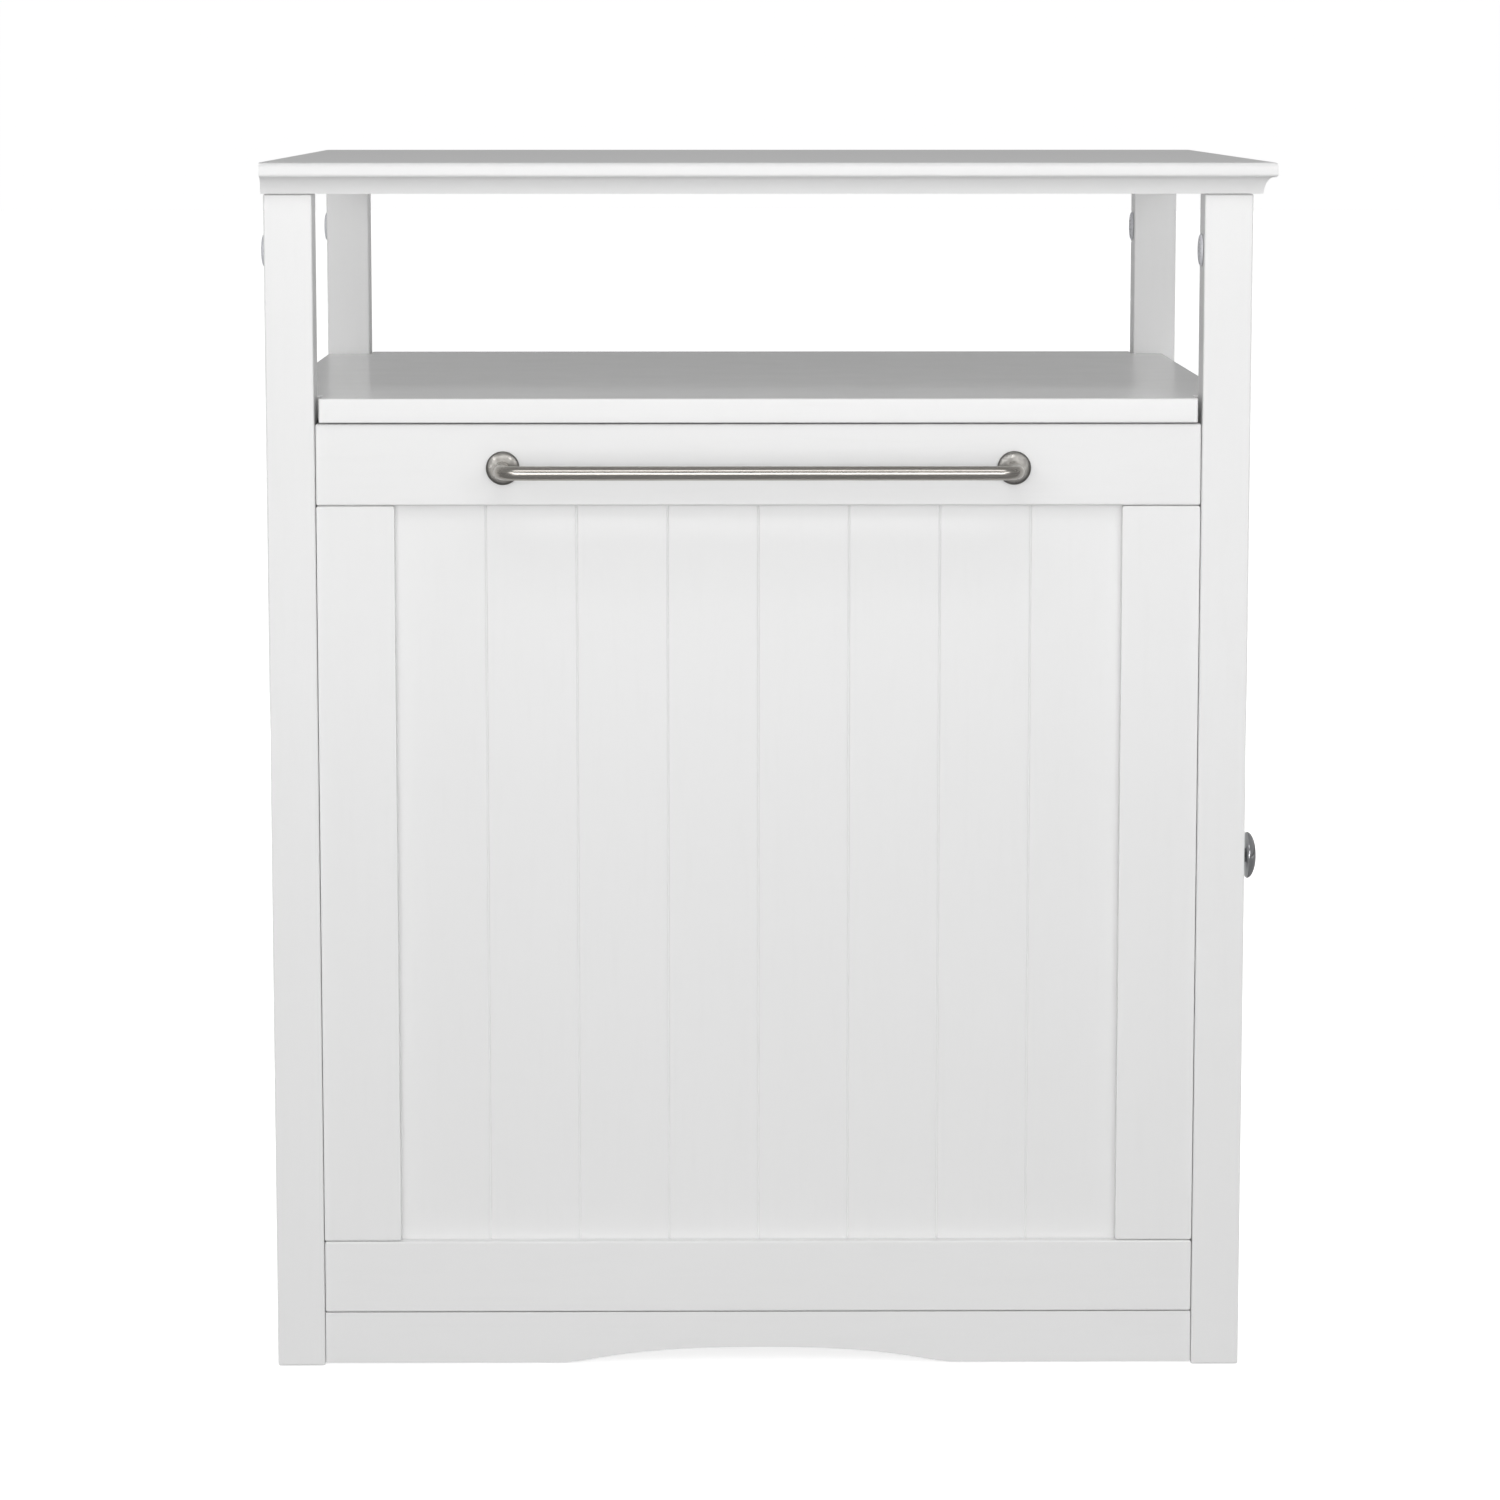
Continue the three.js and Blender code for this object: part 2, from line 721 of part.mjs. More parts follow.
// ---- side door hinges ---------------------------------------------------------------------------
// Local frame: the pin stands on z at the origin. The door's leaf lies on its face and runs along
// -y; the post's leaf lies on the post's front face and runs along -x. Five knuckles share the pin.

const knuckles = 5;
const knuckleHeight = leafHeight / knuckles;
const barrelGap = 0.2;
const knuckleClearance = barrelRadius + 0.6;
const pinHeadRadius = 2.6;
const pinHeadRim = 0.8;
const pinHeadHeight = 1.8;
const pinPlay = 0.12;
const postLeafWidth = 21;

function leaf(plate, tab, ownKnuckles) {
  let geometry = plate;
  for (let index = 0; index < knuckles; index += 1) {
    const z0 = index * knuckleHeight + barrelGap;
    const z1 = (index + 1) * knuckleHeight - barrelGap;
    if (index % 2 === ownKnuckles) {
      const barrel = rod(barrelRadius, z1 - z0, 24).translate(0, 0, z0);
      geometry = join(geometry, tab(z0, z1), barrel);
    }
  }
  return cut(geometry, rod(pinRadius + pinPlay, leafHeight + 2, 24).translate(0, 0, -1));
}

const pinX = doorFaceX + barrelRadius + fit;
const pinY = rearPostY - fit - barrelRadius;
const leafEnd = knuckleClearance + 0.2;

for (const [name, z] of [
  ['lower', frontBottomZ + hingeInset],
  ['upper', frontTopZ - hingeInset],
]) {
  const hinge = new THREE.Group();
  hinge.position.set(pinX, pinY, z - leafHeight / 2);
  cabinet.add(hinge);

  const outer = -barrelRadius;
  const inner = -barrelRadius + leafThickness;
  const doorLeaf = leaf(
    block(outer, inner, -leafWidth, -leafEnd, 0, leafHeight),
    (z0, z1) => block(outer, inner, -leafEnd - 1, 0, z0, z1),
    0,
  );
  place(`${name}_hinge_door_leaf`, doorLeaf, zincSteel, hinge);

  const postLeaf = leaf(
    block(-postLeafWidth, -leafEnd, barrelRadius - leafThickness, barrelRadius, 0, leafHeight),
    (z0, z1) => block(-leafEnd - 1, 0, barrelRadius - leafThickness, barrelRadius, z0, z1),
    1,
  );
  place(`${name}_hinge_post_leaf`, postLeaf, zincSteel, hinge);

  const pin = turned([
    [0, 0], [pinRadius, 0], [pinRadius, leafHeight], [pinHeadRadius, leafHeight],
    [pinHeadRadius, leafHeight + pinHeadRim], [pinRadius, leafHeight + pinHeadHeight],
    [0, leafHeight + pinHeadHeight],
  ], 24);
  place(`${name}_hinge_pin`, pin, zincSteel, hinge).position.z = fit;
}

// ---- magnetic catch of the side door ------------------------------------------------------------

const catchY = doorFrontY + 14;
const catchLength = 40;
const catchDepth = 22;
const catchHeight = 14;
const strikeThickness = 1;
const strikeInset = 4; // from the catch's ends
const strikeHeight = 10;
const strikeTopZ = underShelfZ - 3;
const strikeBackX = doorBackX - fit;
place(
  'door_catch',
  block(
    strikeBackX - strikeThickness - fit - catchDepth, strikeBackX - strikeThickness - fit,
    catchY, catchY + catchLength, underShelfZ - catchHeight, underShelfZ,
  ),
  magnetPlastic,
);
place(
  'door_strike_plate',
  block(
    strikeBackX - strikeThickness, strikeBackX,
    catchY + strikeInset, catchY + catchLength - strikeInset, strikeTopZ - strikeHeight, strikeTopZ,
  ),
  zincSteel,
);

// ---- origin: middle of the cabinet's box, on the floor ------------------------------------------

const lowX = -postX - capHeight;
const lowY = -handleReach - barRadius;
cabinet.position.set(-(lowX + topRightX) / 2, -(lowY + topDepth) / 2, 0);

const group = new THREE.Group();
group.add(cabinet);

export default group;
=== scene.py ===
"""White kitchen bin cabinet: lacquered wood, metal fittings, bins, studio and camera.

Metres, +Z up, the front faces -Y.
"""

import math

import bmesh
import bpy
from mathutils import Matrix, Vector


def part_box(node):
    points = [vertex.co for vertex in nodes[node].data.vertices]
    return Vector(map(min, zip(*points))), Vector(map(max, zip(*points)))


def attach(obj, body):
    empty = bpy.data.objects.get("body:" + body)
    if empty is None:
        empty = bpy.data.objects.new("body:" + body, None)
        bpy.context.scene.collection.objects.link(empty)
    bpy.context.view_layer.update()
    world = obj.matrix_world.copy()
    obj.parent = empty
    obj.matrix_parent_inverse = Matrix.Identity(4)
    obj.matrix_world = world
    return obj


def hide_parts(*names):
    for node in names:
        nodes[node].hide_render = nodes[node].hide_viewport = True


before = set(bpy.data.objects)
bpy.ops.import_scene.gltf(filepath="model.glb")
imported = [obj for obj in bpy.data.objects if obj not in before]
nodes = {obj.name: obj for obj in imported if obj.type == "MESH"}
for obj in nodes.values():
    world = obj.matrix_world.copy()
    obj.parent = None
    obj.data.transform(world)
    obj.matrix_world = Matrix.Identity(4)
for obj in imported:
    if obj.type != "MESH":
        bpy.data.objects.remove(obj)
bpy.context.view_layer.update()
MM = 0.001
AXIS = 1e-6  # smallest radius of a turned profile, so that its ring stays a ring
X, Y, Z = Vector((1, 0, 0)), Vector((0, 1, 0)), Vector((0, 0, 1))


# ---- camera ---------------------------------------------------------------------------------------

SENSOR_WIDTH = 36
FOCAL_LENGTH = 118.01
CAMERA_LEFT = 0.0303  # of the middle between the front posts
CAMERA_AWAY = 3.055  # in front of the posts' faces
CAMERA_HEIGHT = 0.8125
CAMERA_DOWN = 7.765  # degrees below level
CAMERA_TURN = -0.468  # degrees about +Z


def add_camera():
    front_left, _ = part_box("front_left_post")
    _, front_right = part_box("front_right_post")
    middle = (front_left.x + front_right.x) / 2
    data = bpy.data.cameras.new("camera")
    data.sensor_width = SENSOR_WIDTH
    data.lens = FOCAL_LENGTH
    data.clip_end = 100
    camera = bpy.data.objects.new("camera", data)
    bpy.context.scene.collection.objects.link(camera)
    camera.location = (middle - CAMERA_LEFT, front_left.y - CAMERA_AWAY, CAMERA_HEIGHT)
    camera.rotation_euler = (math.radians(90 - CAMERA_DOWN), 0, math.radians(CAMERA_TURN))
    bpy.context.scene.camera = camera


# ---- material building blocks ---------------------------------------------------------------------

class Surface:
    """A Principled material with short calls for the nodes that it needs."""

    def __init__(self, name, **constants):
        self.material = bpy.data.materials.new(name)
        self.material.use_nodes = True
        self.tree = self.material.node_tree
        self.shader = self.tree.nodes["Principled BSDF"]
        for key, value in constants.items():
            self.shader.inputs[key.replace("_", " ")].default_value = value

    def node(self, kind, inputs=None, **settings):
        node = self.tree.nodes.new("ShaderNode" + kind)
        for key, value in settings.items():
            setattr(node, key, value)
        for key, value in (inputs or {}).items():
            if isinstance(value, bpy.types.NodeSocket):
                self.tree.links.new(value, node.inputs[key])
            else:
                node.inputs[key].default_value = value
        return node

    def to_shader(self, key, value):
        self.tree.links.new(value, self.shader.inputs[key])

    def place(self, scale=(1, 1, 1)):
        """Object coordinates, stretched: a small number draws the pattern out along that axis."""
        coordinates = self.node("TexCoord").outputs["Object"]
        return self.node("Mapping", {"Vector": coordinates, "Scale": scale}).outputs["Vector"]

    def noise(self, where, scale, detail=2.0, roughness=0.5):
        inputs = {"Vector": where, "Scale": scale, "Detail": detail, "Roughness": roughness}
        return self.node("TexNoise", inputs).outputs["Fac"]

    def span(self, value, low, high, to_low, to_high):
        inputs = {
            "Value": value, "From Min": low, "From Max": high, "To Min": to_low, "To Max": to_high,
        }
        return self.node("MapRange", inputs).outputs["Result"]

    def maths(self, operation, first, second):
        return self.node("Math", {0: first, 1: second}, operation=operation).outputs["Value"]

    def mix(self, factor, first, second):
        """Two colours blended; the numbers are the Mix node's colour sockets."""
        return self.node("Mix", {0: factor, 6: first, 7: second}, data_type="RGBA").outputs[2]

    def bump(self, height, distance, strength=1.0, under=None):
        inputs = {"Height": height, "Distance": distance, "Strength": strength}
        if under is not None:
            inputs["Normal"] = under
        return self.node("Bump", inputs).outputs["Normal"]

    def edges(self, radius):
        """1 on rounded or sharp edges, 0 on flat stretches."""
        rounded = self.node("Bevel", {"Radius": radius}, samples=4).outputs["Normal"]
        flat = self.node("NewGeometry").outputs["True Normal"]
        facing = self.node(
            "VectorMath", {0: rounded, 1: flat}, operation="DOT_PRODUCT",
        ).outputs["Value"]
        return self.span(facing, 0.85, 0.995, 1.0, 0.0)

    def crevices(self, distance):
        """0 in grooves and joints, 1 in the open."""
        inputs = {"Distance": distance}
        return self.node("AmbientOcclusion", inputs, samples=6).outputs["AO"]


def rgb(red, green, blue):
    return (red, green, blue, 1.0)


def grey(level, warmth=1.0):
    """A neutral tone; warmth below 1 takes a little blue out of it."""
    return rgb(level, level, level * warmth)


# how the streaks are stretched, by the way the board runs
GRAIN = {"upright": (6, 6, 0.5), "across": (0.5, 6, 6), "deep": (6, 0.5, 6)}


def lacquer(name, grain, roughness=0.34, white=0.862):
    """Sprayed satin lacquer over wood: faint grain telling through, orange peel, glossier edges
    carrying a painted highlight, and painted shade in grooves and joints.
    """
    paint = Surface(name, Specular_IOR_Level=0.5, Coat_Weight=0.12, Coat_Roughness=0.12)
    here = paint.place()
    tone = paint.noise(here, 3.2, 3)
    colour = paint.mix(paint.span(tone, 0.3, 0.7, 0, 1), grey(white), grey(white * 0.988, 0.997))
    streaks = paint.noise(paint.place(GRAIN[grain]), 34, 5, 0.6)
    telling = paint.span(streaks, 0.52, 0.75, 0, 0.5)
    colour = paint.mix(telling, colour, grey(white * 0.972, 0.997))
    # painted shade: grooves and joints darkened in the colour wherever the occlusion mask is low
    painted_shade_mask = paint.crevices(2 * MM)
    colour = paint.mix(paint.span(painted_shade_mask, 0.1, 0.6, 0.05, 0), colour, grey(white * 0.9, 0.985))
    # painted highlight: rounded edges mixed toward a lighter grey in the colour
    edge = paint.edges(1.1 * MM)
    colour = paint.mix(paint.maths("MULTIPLY", edge, 0.5), colour, grey(0.91))
    paint.to_shader("Base Color", colour)
    mottle = paint.noise(here, 26, 4)
    gloss = paint.span(mottle, 0.2, 0.8, roughness - 0.012, roughness + 0.012)
    paint.to_shader("Roughness", paint.maths("SUBTRACT", gloss, paint.maths("MULTIPLY", edge, 0.05)))
    peel = paint.noise(here, 520, 2)
    normal = paint.bump(streaks, 0.03 * MM, 0.15)
    paint.to_shader("Normal", paint.bump(peel, 0.03 * MM, 0.25, normal))
    return paint.material


def melamine(name):
    """Faced board: a flat off-white print with a fine pearl texture."""
    board = Surface(name, Specular_IOR_Level=0.45)
    here = board.place()
    cloud = board.noise(here, 5, 3)
    colour = board.mix(board.span(cloud, 0.35, 0.65, 0, 1), rgb(0.82, 0.815, 0.80),
                       rgb(0.80, 0.795, 0.78))
    speck = board.noise(here, 900, 2)
    colour = board.mix(board.span(speck, 0.62, 0.72, 0, 0.25), colour, rgb(0.66, 0.65, 0.62))
    # painted shade: corners and recesses within 12 mm darkened in the colour by the occlusion mask
    painted_shade_mask = board.crevices(12 * MM)
    colour = board.mix(board.span(painted_shade_mask, 0.3, 0.95, 0.4, 0), colour, rgb(0.6, 0.59, 0.57))
    board.to_shader("Base Color", colour)
    board.to_shader("Roughness", board.span(speck, 0.3, 0.7, 0.48, 0.62))
    board.to_shader("Normal", board.bump(speck, 0.06 * MM, 0.4))
    return board.material


def moulded_plastic(name, light, dark, roughness, texture=0.5, scale=1400):
    """Injection-moulded plastic with a spark-eroded texture and a painted highlight on its edges."""
    plastic = Surface(name, Specular_IOR_Level=0.5)
    here = plastic.place()
    cloud = plastic.noise(here, 7, 3)
    colour = plastic.mix(plastic.span(cloud, 0.3, 0.7, 0, 1), light, dark)
    # painted highlight: edges mixed toward a lighter copy of the plastic's colour
    edge = plastic.edges(1.5 * MM)
    sheen = rgb(*(min(channel * 1.35 + 0.01, 0.95) for channel in light[:3]))
    colour = plastic.mix(plastic.maths("MULTIPLY", edge, 0.45), colour, sheen)
    plastic.to_shader("Base Color", colour)
    grit = plastic.noise(here, scale, 2)
    plastic.to_shader("Roughness", plastic.span(grit, 0.3, 0.7, roughness - 0.05, roughness + 0.08))
    plastic.to_shader("Normal", plastic.bump(grit, 0.12 * MM, texture))
    return plastic.material


def brushed_metal(name, light, dark, lay, roughness, line_scale=220):
    """Metal with fine lines that run the way it was brushed."""
    metal = Surface(name, Metallic=1.0)
    lines = metal.noise(metal.place(lay), line_scale, 4, 0.65)
    colour = metal.mix(metal.span(lines, 0.3, 0.7, 0, 1), light, dark)
    stain = metal.noise(metal.place(), 18, 3)
    tinted = rgb(light[0] * 0.92, light[1] * 0.88, light[2] * 0.80)
    colour = metal.mix(metal.span(stain, 0.5, 0.75, 0, 0.35), colour, tinted)
    metal.to_shader("Base Color", colour)
    metal.to_shader("Roughness", metal.span(lines, 0.3, 0.7, roughness - 0.06, roughness + 0.10))
    metal.to_shader("Normal", metal.bump(lines, 0.02 * MM, 0.35))
    return metal.material


def polished_chrome(name):
    """Plated and polished, with hairline scratches and a breath of haze."""
    chrome = Surface(name, Metallic=1.0)
    here = chrome.place()
    haze = chrome.noise(here, 60, 4)
    colour = chrome.mix(chrome.span(haze, 0.35, 0.7, 0, 1), rgb(0.50, 0.51, 0.52),
                        rgb(0.41, 0.415, 0.43))
    chrome.to_shader("Base Color", colour)
    scratches = chrome.noise(chrome.place((1, 9, 2)), 420, 5, 0.7)
    chrome.to_shader("Roughness", chrome.span(scratches, 0.45, 0.8, 0.05, 0.17))
    chrome.to_shader("Normal", chrome.bump(scratches, 0.005 * MM, 0.25))
    return chrome.material


def galvanised(name):
    """Zinc plating: a faint blue-yellow bloom over rolled steel."""
    steel = Surface(name, Metallic=1.0)
    here = steel.place()
    bloom = steel.noise(here, 14, 3)
    rolled = steel.noise(steel.place((1, 0.12, 1)), 160, 3)
    colour = steel.mix(steel.span(bloom, 0.3, 0.7, 0, 1), rgb(0.66, 0.68, 0.71),
                       rgb(0.70, 0.69, 0.64))
    steel.to_shader("Base Color", colour)
    steel.to_shader("Roughness", steel.span(rolled, 0.3, 0.7, 0.26, 0.42))
    steel.to_shader("Normal", steel.bump(rolled, 0.02 * MM, 0.3))
    return steel.material


# ---- meshes ---------------------------------------------------------------------------------------

def new_piece(name, verts, faces, material, body, slot, smooth=35):
    mesh = bpy.data.meshes.new(name)
    mesh.from_pydata([tuple(v) for v in verts], [], faces)
    work = bmesh.new()
    work.from_mesh(mesh)
    bmesh.ops.remove_doubles(work, verts=work.verts, dist=1e-7)
    bmesh.ops.recalc_face_normals(work, faces=work.faces)
    work.to_mesh(mesh)
    work.free()
    mesh.materials.append(material)
    piece = bpy.data.objects.new(name, mesh)
    bpy.context.scene.collection.objects.link(piece)
    smooth_by_angle(piece, smooth)
    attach(piece, body)
    return piece


def smooth_by_angle(piece, degrees):
    """Smooth faces whose shared edge turns less than the angle; keep the others crisp."""
    piece.data.shade_smooth()
    work = bmesh.new()
    work.from_mesh(piece.data)
    limit = math.radians(degrees)
    for edge in work.edges:
        edge.smooth = len(edge.link_faces) == 2 and edge.calc_face_angle(0.0) < limit
    work.to_mesh(piece.data)
    work.free()


def loft(rings):
    """Faces through rings of equal point counts; the first and last are capped."""
    count = len(rings[0])
    verts = [point for ring in rings for point in ring]
    faces = []
    for row in range(len(rings) - 1):
        for i in range(count):
            j = (i + 1) % count
            low, high = row * count, (row + 1) * count
            faces.append((low + i, low + j, high + j, high + i))
    faces.append(tuple(reversed(range(count))))
    faces.append(tuple(range((len(rings) - 1) * count, len(rings) * count)))
    return verts, faces


def turned(profile, centre, axis, sides=48):
    """A turned solid: profile points are (radius, height) along the axis, radii above zero."""
    turn = Z.rotation_difference(axis).to_matrix()
    rings = []
    for radius, height in profile:
        ring = []
        for i in range(sides):
            angle = 2 * math.pi * i / sides
            local = Vector((radius * math.cos(angle), radius * math.sin(angle), height))
            ring.append(centre + turn @ local)
        rings.append(ring)
    return loft(rings)


def bezier(start, pull, end, steps):
    """Points of a quadratic curve, without its first."""
    points = []
    for i in range(1, steps + 1):
        t = i / steps
        a, b, c = (1 - t) ** 2, 2 * t * (1 - t), t * t
        points.append(tuple(a * start[k] + b * pull[k] + c * end[k] for k in range(2)))
    return points


def join_parts(parts):
    """Several (verts, faces) as one."""
    verts, faces = [], []
    for part_verts, part_faces in parts:
        base = len(verts)
        verts += part_verts
        faces += [tuple(base + i for i in face) for face in part_faces]
    return verts, faces


def centre_of(node):
    low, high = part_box(node)
    return (low + high) / 2


# ---- wood: the CAD boards keep their shape and get eased edges -------------------------------------

UPRIGHT, ACROSS, DEEP = "upright", "across", "deep"
CORNERS = ("front_left", "front_right", "rear_left", "rear_right")

# node: which way its grain runs, and the radius of its edges in mm
PAINTED = {
    "top_board": (ACROSS, 0.5), "middle_shelf": (ACROSS, 0.9), "front_apron": (ACROSS, 1.2),
    "right_apron": (DEEP, 1.2), "left_side_panel": (UPRIGHT, 0.35),
    "pull_out_header": (ACROSS, 1.2), "pull_out_bottom_rail": (ACROSS, 1.2),
    "pull_out_left_stile": (UPRIGHT, 1.2), "pull_out_right_stile": (UPRIGHT, 1.2),
    "pull_out_bead_panel": (UPRIGHT, 0.35),
    "side_door_header": (DEEP, 1.0), "side_door_bottom_rail": (DEEP, 1.0),
    "side_door_left_stile": (UPRIGHT, 1.0), "side_door_right_stile": (UPRIGHT, 1.0),
    "side_door_bead_panel": (UPRIGHT, 0.35),
}
for corner in CORNERS:
    PAINTED[corner + "_post"] = (UPRIGHT, 1.1)

# node: the radius of its edges in mm
FACED = {
    "back_panel": 0.3, "bottom_board": 0.5, "partition": 0.5, "side_cupboard_front_board": 0.5,
    "side_cupboard_shelf": 0.5, "side_cupboard_shelf_cleat": 0.8, "slide_spacer_rail": 0.6,
    "pull_out_box_left": 0.8, "pull_out_box_right": 0.8, "pull_out_box_front": 0.8,
    "pull_out_box_back": 0.8, "pull_out_box_base": 0.4,
}


def ease(node, material, radius_mm, segments=3):
    """Weld the node's facets and round its edges without touching its mesh."""
    piece = nodes[node]
    piece.data.materials.clear()
    piece.data.materials.append(material)
    weld = piece.modifiers.new("weld", "WELD")
    weld.merge_threshold = 0.01 * MM
    bevel = piece.modifiers.new("eased edges", "BEVEL")
    bevel.width = radius_mm * MM
    bevel.segments = segments
    bevel.limit_method = "ANGLE"
    bevel.angle_limit = math.radians(32)
    bevel.use_clamp_overlap = True
    level = piece.modifiers.new("flat boards", "WEIGHTED_NORMAL")
    level.mode = "FACE_AREA"
    level.weight = 100
    level.keep_sharp = False
    piece.data.shade_smooth()


def finish_wood():
    lacquers = {grain: lacquer(f"white lacquer {grain}", grain) for grain in GRAIN}
    for node, (grain, radius) in PAINTED.items():
        ease(node, lacquers[grain], radius)
    sheen = lacquer("white lacquer of the shelf", ACROSS, roughness=0.24)
    nodes["middle_shelf"].data.materials[0] = sheen
    board = melamine("white faced board")
    for node, radius in FACED.items():
        ease(node, board, radius, 2)


# ---- fittings -------------------------------------------------------------------------------------

def add_cam_caps(plastic):
    """Domed cover caps over the cam locks, one on the left-facing side of each post."""
    for corner in CORNERS:
        node = corner + "_cam_cap"
        low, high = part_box(node)
        radius = (high.z - low.z) / 2
        rise = high.x - low.x
        wall_top = (radius, 0.3 * rise)
        shoulder = (radius * 0.62, rise * 0.95)
        profile = [(AXIS, 0), (radius, 0), wall_top]
        profile += bezier(wall_top, (radius * 0.97, 0.78 * rise), shoulder, 8)
        profile += bezier(shoulder, (radius * 0.3, rise), (AXIS, rise), 6)
        base = Vector((high.x, (low.y + high.y) / 2, (low.z + high.z) / 2))
        cap = new_piece(corner + "_cover_cap", *turned(profile, base, -X), plastic, "cabinet",
                        "cap_plastic", 50)
        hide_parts(node)


def handle_path():
    """Centreline of the bar from one flange to the other, with round bends."""
    low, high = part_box("handle_bar")
    radius = (high.z - low.z) / 2
    z = (low.z + high.z) / 2
    left, right = low.x + radius, high.x - radius
    out, back = low.y + radius, high.y
    bend, steps = 10 * MM, 12
    left_bend, right_bend, bend_y = left + bend, right - bend, out + bend
    points = [Vector((left, back, z))]
    for i in range(steps + 1):
        angle = math.radians(90 * i / steps)
        points.append(Vector((left_bend - bend * math.cos(angle), bend_y - bend * math.sin(angle), z)))
    for i in range(1, steps):
        points.append(Vector((left_bend + (right_bend - left_bend) * i / steps, out, z)))
    for i in range(steps + 1):
        angle = math.radians(90 - 90 * i / steps)
        points.append(Vector((right_bend + bend * math.cos(angle), bend_y - bend * math.sin(angle), z)))
    points.append(Vector((right, back, z)))
    return points, radius


def tube(points, radius, sides=32):
    """A round bar along points that lie in one level plane."""
    rings = []
    for i, point in enumerate(points):
        before = points[max(i - 1, 0)]
        after = points[min(i + 1, len(points) - 1)]
        along = (after - before).normalized()
        out = along.cross(Z)
        ring = []
        for k in range(sides):
            angle = 2 * math.pi * k / sides
            ring.append(point + radius * (math.cos(angle) * out + math.sin(angle) * Z))
        rings.append(ring)
    return loft(rings)


def add_handle(nickel, rose_nickel_painted_darker, zinc):
    points, radius = handle_path()
    bar = new_piece("bar_handle", *tube(points, radius), nickel, "pull_out", "brushed_nickel", 60)
    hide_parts("handle_bar")
    for side in ("left", "right"):
        node = f"handle_{side}_flange"
        low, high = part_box(node)
        rim = (high.z - low.z) / 2
        thick = high.y - low.y
        rim_top = (rim, thick * 0.45)
        shoulder = (rim - 1.6 * MM, thick * 0.93)
        profile = [(AXIS, 0), (rim, 0), rim_top]
        profile += bezier(rim_top, (rim, thick * 0.85), shoulder, 8)
        profile += bezier(shoulder, (rim - 3 * MM, thick), (rim - 4 * MM, thick), 4)
        profile += [(AXIS, thick)]
        base = Vector(((low.x + high.x) / 2, high.y, (low.z + high.z) / 2))
        # the roses take the nickel with painted shade in its colour
        disc = new_piece(f"{side}_rose", *turned(profile, base, -Y), rose_nickel_painted_darker, "pull_out",
                         "brushed_nickel", 40)
        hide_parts(node)
        add_screw(f"handle_{side}_screw", -Y, zinc, "pull_out")


def add_screw(node, axis, zinc, body):
    """A pan-head screw that fills its CAD node: the head is at the start of the axis."""
    low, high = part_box(node)
    size = high - low
    along = [abs(c) for c in axis].index(1)
    length = size[along]
    head = min(size[i] for i in range(3) if i != along) / 2
    start = (low + high) / 2 - axis * length / 2
    shank = 1.75 * MM
    thick = 2.2 * MM
    recess = (head * 0.42, 0.02 * MM)
    profile = [(AXIS, 0.55 * MM), (head * 0.3, 0.5 * MM), recess]
    profile += bezier(recess, (head * 0.95, 0.15 * MM), (head, thick * 0.75), 7)
    profile += [(head, thick), (shank, thick)]
    pitch, plain_end = 0.7 * MM, 1 * MM
    for i in range(int((length - thick - plain_end) / pitch)):
        base = thick + 0.2 * MM + i * pitch
        profile += [(shank, base), (shank * 0.86, base + pitch / 2)]
    profile += [(shank * 0.8, length), (AXIS, length)]
    screw = new_piece(node + "_threaded", *turned(profile, start, axis, 24), zinc, body,
                      "zinc_steel", 40)
    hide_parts(node)


def add_knob(chrome, zinc):
    low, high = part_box("side_door_knob")
    rim = (high.z - low.z) / 2
    reach = high.x - low.x
    foot, neck = 0.54 * rim, 0.37 * rim
    widest = 0.75 * reach
    foot_top = (foot, 1.3 * MM)
    waist = (neck, 0.36 * reach)
    brim = (rim - 2 * MM, widest - 1.7 * MM)
    profile = [(AXIS, 0), (foot - 0.4 * MM, 0), (foot, 0.4 * MM), foot_top]
    profile += bezier(foot_top, (neck, 0.15 * reach), waist, 8)
    profile += bezier(waist, (neck, widest - 3 * MM), brim, 10)
    profile += bezier(brim, (rim, widest - 1.2 * MM), (rim, widest), 6)
    dome_steps = 15
    for i in range(1, dome_steps):
        angle = math.radians(90 * i / dome_steps)
        profile.append((rim * math.cos(angle), widest + (reach - widest) * math.sin(angle)))
    profile.append((AXIS, reach))
    base = Vector((low.x, (low.y + high.y) / 2, (low.z + high.z) / 2))
    knob = new_piece("mushroom_knob", *turned(profile, base, X, 64), chrome, "side_door", "chrome", 50)
    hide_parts("side_door_knob")
    add_screw("side_door_knob_screw", X, zinc, "side_door")


# ---- bins -----------------------------------------------------------------------------------------

def rounded_ring(centre, half_x, half_y, radius, z, steps=7):
    """A level rectangle with round corners."""
    ring = []
    for sign_x, sign_y, start in ((1, 1, 0), (-1, 1, 90), (-1, -1, 180), (1, -1, 270)):
        for i in range(steps + 1):
            angle = math.radians(start + 90 * i / steps)
            x = sign_x * (half_x - radius) + radius * math.cos(angle)
            y = sign_y * (half_y - radius) + radius * math.sin(angle)
            ring.append(Vector((centre.x + x, centre.y + y, z)))
    return ring


